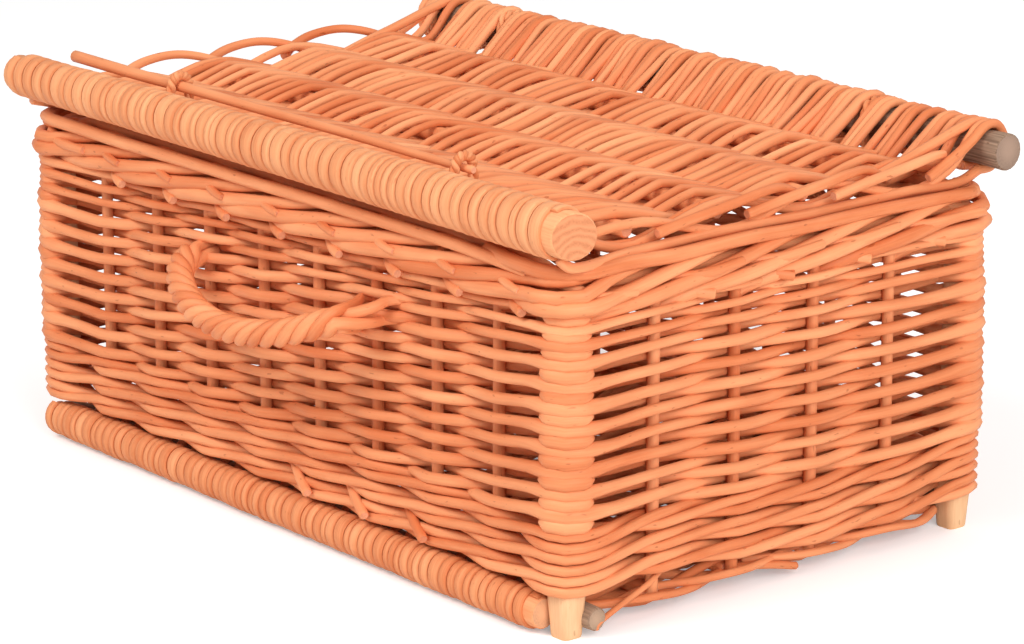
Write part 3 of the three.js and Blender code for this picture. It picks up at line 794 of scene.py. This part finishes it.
# woven panels: rods run back over and under the sticks, then wind round the back stick
panelLook = dict(
    lidRods=46, lidButt=3.4, lidTip=2.4, lidFirst=-17, lidLast=60, basePitch=7.4, baseButt=2.9, baseTip=2.4, slant=5,
    straggle=(-5, 6), lean=9, dip=31, drift=15, passUnder=(40, 46, 51, 56), loopSide=3.6, loopOver=12, loopClear=22,
    grip=0.95)


def besideLoops(x, loops, look=panelLook):
    for loop in loops:
        x += copysign(look["loopSide"] * exp(-abs(x - loop) / look["loopOver"]), x - loop)
    return x


def panelRod(x, panel, butt, tip, over, overTop, look=panelLook):
    track, middle = newTrack(), (butt + tip) / 2
    reach, wrap, back = panel["stickRadius"] + middle * look["grip"], panel["backRadius"] + middle, panel["back"]
    keys = [(panel["front"], panel["frontLevel"] + wobble(track, 1, 3))]
    for number, y in enumerate(panel["sticks"]):
        keys.append((y, panel["level"] + (reach if (number % 2 == 0) == over else -reach)))
    keys.append((back.y - look["dip"] + wobble(track, 5, 7), panel["level"] - 1.5 + wobble(track, 9, 2)))
    line = [[0, y, z] for y, z in easeKeys(keys, 7)]
    # from the dip straight up to the back stick, and round it
    gap = Vector((keys[-1][0] - back.y, keys[-1][1] - back.z))
    facing, lean = atan2(gap.y, gap.x), acos(wrap / gap.length)
    if overTop:
        turns = [facing - lean + 2 * pi - 4.6 * k / 14 for k in range(15)]
    else:
        turns = [facing + lean + 2.4 * k / 8 for k in range(9)]
    # straggling, but not beside the loops
    clear = prod(1 - exp(-((x - loop) / look["loopClear"]) ** 2) for loop in panel["backLoops"])
    slant = look["slant"] + dice.uniform(*look["straggle"]) * clear
    wound = [[slant * (0.5 + 0.5 * k / len(turns)), *spot] for k, spot in enumerate(arcOf(back.y, back.z, wrap, turns))]
    (_, y, z), (_, woundY, woundZ) = line[-1], wound[0]
    line += [[slant * 0.5 * t, mix(y, woundY, t), mix(z, woundZ, t)] for t in (0.2, 0.45, 0.7)] + wound
    rod = []
    for k, (shift, y, z) in enumerate(line):
        share = min(max((y - panel["front"]) / (back.y - panel["front"]), 0), 1)
        ease = 0.5 - 0.5 * cos(pi * share)
        start = x - panel["lean"] * max(1 - share * 5, 0)
        across = mix(besideLoops(start, panel["frontLoops"]), besideLoops(x, panel["backLoops"]), ease)
        drift = look["drift"] * sin(pi * share)   # neighbours lean together
        drift *= noise.noise(Vector((x / 80, y / 65, 3.1)))
        rod.append([across + shift + drift + wobble(track + 2, y / 45, 1.2), y, z + wobble(track + 6, y / 45, 0.8),
                    mix(butt, tip, k / len(line) if over else 1 - k / len(line))])
    return makeRod(rod)


def panelOf(kind, front, frontLevel, frontLoops, backLoops):
    stick, backStick = f"{kind}_stick_1", f"{kind}_back_stick"
    return {"sticks": [middleOf(f"{kind}_stick_{k}").y for k in range(1, 5)], "level": middleOf(stick).z,
            "stickRadius": radiusOf(stick), "back": middleOf(backStick), "backRadius": radiusOf(backStick),
            "front": front, "frontLevel": frontLevel, "lean": panelLook["lean"] if frontLoops else 0,
            "frontLoops": frontLoops, "backLoops": backLoops}


def makeLidWeave(look):
    locks = [middleOf(f"lock_loop_{side}").x for side in bothEnds]
    hinges = [middleOf(f"hinge_loop_{side}").x - look["slant"] / 2 for side in bothEnds]
    roll = middleOf("lid_front_stick")
    panel = panelOf("lid", roll.y + 11, roll.z - 8, locks, hinges)
    pitch = (locks[1] - locks[0]) / look["lidRods"]
    rods = []
    for number in range(look["lidFirst"], look["lidLast"]):
        butt = look["lidButt"] + dice.choice((-0.5, -0.2, 0, 0.2, 0.6))
        tip = look["lidTip"] + dice.uniform(-0.25, 0.35)
        over, overTop = (number + number // 11) % 2 == 0, number not in look["passUnder"]
        rods.append(panelRod(locks[0] + pitch * (number + 0.5), panel, butt, tip, over, overTop))
    makeWillow("lidWeave", rods, 8, "lid", "lid_weave")


# a stout rail lies behind the base's roll, and its frayed end shows beside the foot
baseLook = dict(
    railBehind=18.5, railRadius=6.8, railLevel=10.2, railEnd=10, railTone=0.75, railLight=(0.5, 0.33, 0.22),
    railDark=(0.2, 0.12, 0.075), ringGap=20, edgeRadius=2.4, fillRods=(7, 13.5, 20), fillRadius=2.8, fillReach=6.6,
    thinRadius=1.7, thinKeys=((8.5, 1, 4), (8.5, 3, 7.5), (7.5, 20, 14), (6.5, 40, 21), (1, 54, 24.5)))


def makeBaseWeave(look, base):
    roll, stakes = middleOf("base_front_stick"), [middleOf(f"stake_{side}_1").x for side in bothEnds]
    rail = Vector((0, roll.y + base["railBehind"], base["railLevel"]))
    panel = panelOf("base", roll.y + 11, roll.z, [], [])
    panel["sticks"].insert(0, rail.y)
    low, high = boxOf("base_weave")
    count = int((high.x - low.x) / look["basePitch"])
    pitch = (high.x - low.x) / count
    rods = [panelRod(low.x + pitch * (number + 0.25), panel, look["baseButt"], look["baseTip"], number % 2 == 0, True)
            for number in range(count)]
    makeWillow("baseWeave", rods, 8, "basket", "base_weave")

    run = evenly(stakes[0] - base["railEnd"], stakes[1] + base["railEnd"], 40)
    rod = makeRod([[x, rail.y + wobble(3, k / 7, 1), rail.z + wobble(6, k / 7, 0.5),
                    base["railRadius"] * (1 + wobble(11, k / 2, 0.1))] for k, x in enumerate(run)], base["railTone"])
    sawn = makeSawnEnd("railEnd", base["railLight"], base["railDark"], (rail.y, rail.z), base["ringGap"])
    makePiece("baseRail", rodMesh("baseRail", [rod], 14), (bark, sawn), "basket", "bark_stick")

    # along both ends: rods round the tails of the stakes, over and under the sticks, and a thin one from the rail
    tails = [middleOf(f"stake_right_{k}").y for k in range(1, 5)]
    swing, level = stakeRadius + base["edgeRadius"] * 0.8, panel["level"]
    rods = []
    for way, x in ((-1, stakes[0]), (1, stakes[1])):
        for phase, first, last in ((0, 0, 1), (1, 0, 3), (0, 2, 3)):
            keys = [[tails[first] - 46, -6, 14], [tails[first] - 26, -2 * phase, 12.5 - phase]]
            for number in range(first, last + 1):
                keys.append([tails[number], swing if number % 2 == phase else -swing, 11.5 + 2 * phase])
                if number < last:
                    keys.append([tails[number] + 29, 0, 9 + 3.5 * phase])
            keys += [[tails[last] + 26, 2, 10], [tails[last] + 47, *((3, 5) if last == 1 else (-5, 12))]]
            rods.append(makeRod([[x + way * out, y, z + wobble(first + phase * 5, y / 30, 1.2), base["edgeRadius"]]
                                 for y, out, z in throughPoints(keys, 6)]))
        for number, inward in enumerate(base["fillRods"]):
            ways = (1 if (k + number) % 2 else -1 for k in range(4))
            keys = [(y, level + base["fillReach"] * up) for y, up in zip(tails, ways)]
            keys = [(tails[0] - 42, level), *keys, (tails[3] + 44, level)]
            rods.append(makeRod([[x - way * inward, y, z, base["fillRadius"]] for y, z in easeKeys(keys, 8)]))
        rods.append(makeRod([[x + way * out, rail.y + behind, z, base["thinRadius"]]
                             for out, behind, z in throughPoints(base["thinKeys"], 5)]))
    makeWillow("baseEdges", rods, 8, "basket")


makeLidWeave(panelLook)
makeBaseWeave(panelLook, baseLook)


# edge rods of the lid: a long one from under the roll round the back stick and forward again, two woven beside it,
# and stout butts that start behind one stick, climb over the next and turn in beyond it
edgeLook = dict(
    radius=3, wovenRadius=2.8, buttRadius=3.15, buttTaper=0.1, inner=6.2, grip=0.8, rollThinner=2.6, coil=16,
    coilFrom=3, coilTurn=0.44)


def makeLidEdges(look):
    sticks = [middleOf(f"lid_stick_{k}").y for k in range(1, 5)]
    level, stickRadius = middleOf("lid_stick_1").z, radiusOf("lid_stick_1")
    roll, back = middleOf("lid_front_stick"), middleOf("lid_back_stick")
    backRadius = radiusOf("lid_back_stick") + look["radius"]
    reach = stickRadius + look["radius"] * look["grip"]
    bottom, top = level - reach, level + stickRadius + look["buttRadius"]

    def aroundBack(*turns):
        return arcOf(back.y, back.z, backRadius, turns)

    for side, way in (("left", -1), ("right", 1)):
        x = middleOf(f"lid_edge_{side}").x
        inner = -way * look["inner"]
        low = boxOf("lid_front_binding")[0].z - look["radius"]
        if way > 0:
            under = [[11, roll.y - 2, low + 6], [12.8, roll.y + 3, low + 1.2], [13, roll.y + 10, low - 0.2],
                     [9, roll.y + 25, bottom], [4, roll.y + 46, bottom]]
        else:   # the roll is thinner at its left end
            low += look["rollThinner"]
            under = [[2, roll.y - 2, low + 3], [2.5, roll.y + 9, low], [2.5, roll.y + 25, bottom],
                     [2, roll.y + 46, bottom]]
        under += [[1.5, y, bottom + (0.8 if k % 2 else -0.3)] for k, y in enumerate(sticks)]
        under += [[0, back.y - 22, bottom - 1]]
        line = [[way * out, y, z] for out, y, z in under]
        line += [[inner * k / 5, *spot] for k, spot in enumerate(aroundBack(-1.9, -1.2, -0.5, 0.2, 0.9, 1.6))]
        line += [[inner, back.y - 16, back.z + backRadius - 2.5]]
        line += [[inner, y, level + (reach if k % 2 == 0 else -reach)] for k, y in enumerate(reversed(sticks))]
        line += [[inner, roll.y + 30, level + 1]]
        rods = [makeRod(throughPoints([[x + shift, y, z, look["radius"]] for shift, y, z in line], 5))]
        for lane in (0, 1):
            woven = [[roll.y + 10, roll.z - 9]]
            woven += [[y, level + (-reach if (k + lane) % 2 else reach)] for k, y in enumerate(sticks)]
            woven += [[back.y - 30, level], [back.y - 12, back.z + 7], *aroundBack(2.1, 1.6, 1.1, 0.4, -0.4, -1.2, -2)]
            line = [[x + lane * inner * 1.9, *spot, look["wovenRadius"]] for spot in woven]
            rods.append(makeRod(throughPoints(line, 6)))
        for number, y in enumerate(sticks):
            run = [[5.2, y + 6, level + 1], [4.6, y + 30, level + 4.2], [3.4, y + 65, top + 0.4],
                   [1.4, y + 86, top + 2.6], [-2.5, y + 104, top + 1.2], [-6, y + 122, level + 1]]
            if number == 3:   # the last one goes over the back stick
                run = [[5, y + 15, level], [5, y + 34, level + 8], [4.5, y + 50, back.z + 6.5],
                       [4.5, back.y - 4, back.z + backRadius], [4.5, back.y + 6, back.z + backRadius - 1],
                       [4.5, back.y + 13, back.z + 2]]
            elif way < 0:   # on the left they bow out between the sticks
                run = [[3, y - 4, level + 1], [10, y + 8, level + 5], [15, y + 26, level + 9], [13, y + 46, level + 11],
                       [5, y + 62, top + 1], [-4, y + 80, level + 2]]
            elif number == 2:   # stops short of the back stick
                run = run[:4] + [[-1, y + 98, top + 1.8]]
            line = [[x + way * out, *spot, look["buttRadius"] - look["buttTaper"] * k]
                    for k, (out, *spot) in enumerate(run)]
            rods.append(makeRod(throughPoints(line, 6)))
        if way < 0:   # the left end of the back stick is wound close
            start = boxOf("lid_back_stick")[0].x + look["coilFrom"]
            coil = zip(evenly(start, start + look["coil"], 40), aroundBack(*(look["coilTurn"] * k for k in range(41))))
            rods.append(makeRod([[along, *spot, look["radius"]] for along, spot in coil]))
        makeWillow(f"lidEdge.{side}", rods, 8, "lid", f"lid_edge_{side}")


makeLidEdges(edgeLook)


# twisted loops: hinges round the back border and stick, lock loops round the front border and over the lock rod
loopLook = dict(radius=1.7, lay=1.4, hingeTwists=9, lockTwists=12, roundBorder=11.6, roundStick=2.6)


def makeLoops(look):
    def twisted(name, node, outline, twists):
        line = throughPoints(outline + outline[:3], 8)[8:-16]
        x = middleOf(node).x
        rods = []
        for strand in range(2):
            path = []
            for k, (y, z) in enumerate(line):
                before, after = line[k - 1], line[(k + 1) % len(line)]
                heading = Vector((after[0] - before[0], after[1] - before[1])).normalized()
                turn = 2 * pi * twists * k / len(line) + pi * strand
                outward = Vector((heading.y, -heading.x)) * look["lay"] * cos(turn)
                path.append([x + look["lay"] * sin(turn), y + outward.x, z + outward.y, look["radius"]])
            rods.append(makeRod(path, closed=True))
        makePiece(name, rodMesh(name, rods, 8), (skein, willowCut), "basket", "split_willow", node)

    border, back = middleOf("border_back"), middleOf("lid_back_stick")
    hinge = arcOf(border.y, border.z, look["roundBorder"], (1.3, 2.0, 2.7, 3.4, 4.1, 4.7, 5.4, 6.0))
    hinge += arcOf(back.y, back.z, radiusOf("lid_back_stick") + look["roundStick"], (-0.6, 0, 0.6, 1.2, 1.9, 2.6))
    front, roll, rod = middleOf("border_front"), middleOf("lid_front_stick"), middleOf("lock_rod")
    lock = arcOf(front.y + 6, front.z, 6, (0.3, -0.5, -1.3, -2.1, -2.9, -3.6), 9)
    lock += [[front.y + 2, front.z + 14], [roll.y + 18.4, roll.z - 4], [roll.y + 18.6, roll.z + 3]]
    lock += arcOf(rod.y, rod.z, 6.2, (2.9, 2.2, 1.5, 0.8, 0.1), 6.6)
    lock += [[rod.y + 5.6, rod.z - 14], [front.y + 12.5, front.z + 9]]
    for kind, outline in (("hinge", hinge), ("lock", lock)):
        for side in bothEnds:
            twisted(f"{kind}Loop.{side}", f"{kind}_loop_{side}", outline, look[f"{kind}Twists"])


makeLoops(loopLook)


# lock rod: a peeled rod, thick at its butt, that slides out through both loops
lockLook = dict(butt=3.7, taper=1.4, tone=0.55)


def makeLockRod(look):
    low, high = boxOf("lock_rod")
    axis = (low + high) / 2
    line = [[x, axis.y + wobble(3, k / 9, 0.5), axis.z + wobble(4, k / 9, 0.4),
             look["butt"] - look["taper"] * k / 40 + wobble(5, k / 5, 0.12)]
            for k, x in enumerate(evenly(low.x, high.x, 40))]
    makeWillow("lockRod", [makeRod(line, look["tone"])], 12, "lock_rod", "lock_rod")


makeLockRod(lockLook)


# handle: four stout strands laid up like a rope, splayed where they go into the wall
handleLook = dict(
    strands=4, strandRadius=3.7, thinner=0.7, lay=4.7, lead=43, thick=17, reach=42, drop=22.5, rise=8.4, leave=0.82,
    steps=70, ends=((-30, -3), (-7, 0), (-11, -12), (-32, -20)))


def makeHandle(look):
    low, high = boxOf("handle")
    half = (high.x - low.x - look["thick"]) / 2
    centre, wall, leftEnd = (low.x + high.x) / 2, high.y, high.z - look["thick"] / 2 - look["rise"]

    def bow(share):
        turn = pi * share
        return Vector((centre - half * cos(turn), wall - look["reach"] * sin(turn),
                       leftEnd + look["rise"] * sin(turn / 2) ** 2 - look["drop"] * sin(turn) ** 2))

    shares = evenly(0, look["leave"], look["steps"])
    lines = []
    for strand in range(look["strands"]):
        line, run = [], 0
        for k, share in enumerate(shares):
            here = bow(share)
            heading = (bow(share + 0.002) - bow(share - 0.002)).normalized()
            if k:
                run += (here - bow(shares[k - 1])).length
            outward = heading.cross(Vector((0, 0, 1))).normalized()
            upward = outward.cross(heading)
            turn = 2 * pi * (run / look["lead"] + strand / look["strands"])
            place = here + (outward * cos(turn) + upward * sin(turn)) * look["lay"]
            line.append([*place, look["strandRadius"] + wobble(strand * 3, run / 25, 0.35)])
        first = line[0]
        lines.append([[first[0] - 2, wall + 12, first[2] + 1, first[3] - 0.3], *line[1::2]])
    lines.sort(key=lambda line: -line[-1][2])
    thin = look["strandRadius"] - look["thinner"]
    rods = []
    for line, (across, up) in zip(lines, look["ends"]):   # each strand leaves the rope for its own hole in the wall
        last, stop = Vector(line[-1][:3]), Vector((bow(1).x + across, wall + 4, bow(1).z + up))
        line.append([*(last.lerp(stop, 0.4) + Vector((3, -2.5, 0))), thin + 0.4])
        line.append([*(last.lerp(stop, 0.75) + Vector((3, -1.5, 0))), thin + 0.2])
        line += [[*stop, thin], [stop.x + 9, stop.y + 9, stop.z + 1, thin - 0.2]]
        rods.append(makeRod(throughPoints(line, 2)))
    makeWillow("handle.rope", rods, 10, "basket", "handle")


makeHandle(handleLook)

print("all pieces made")
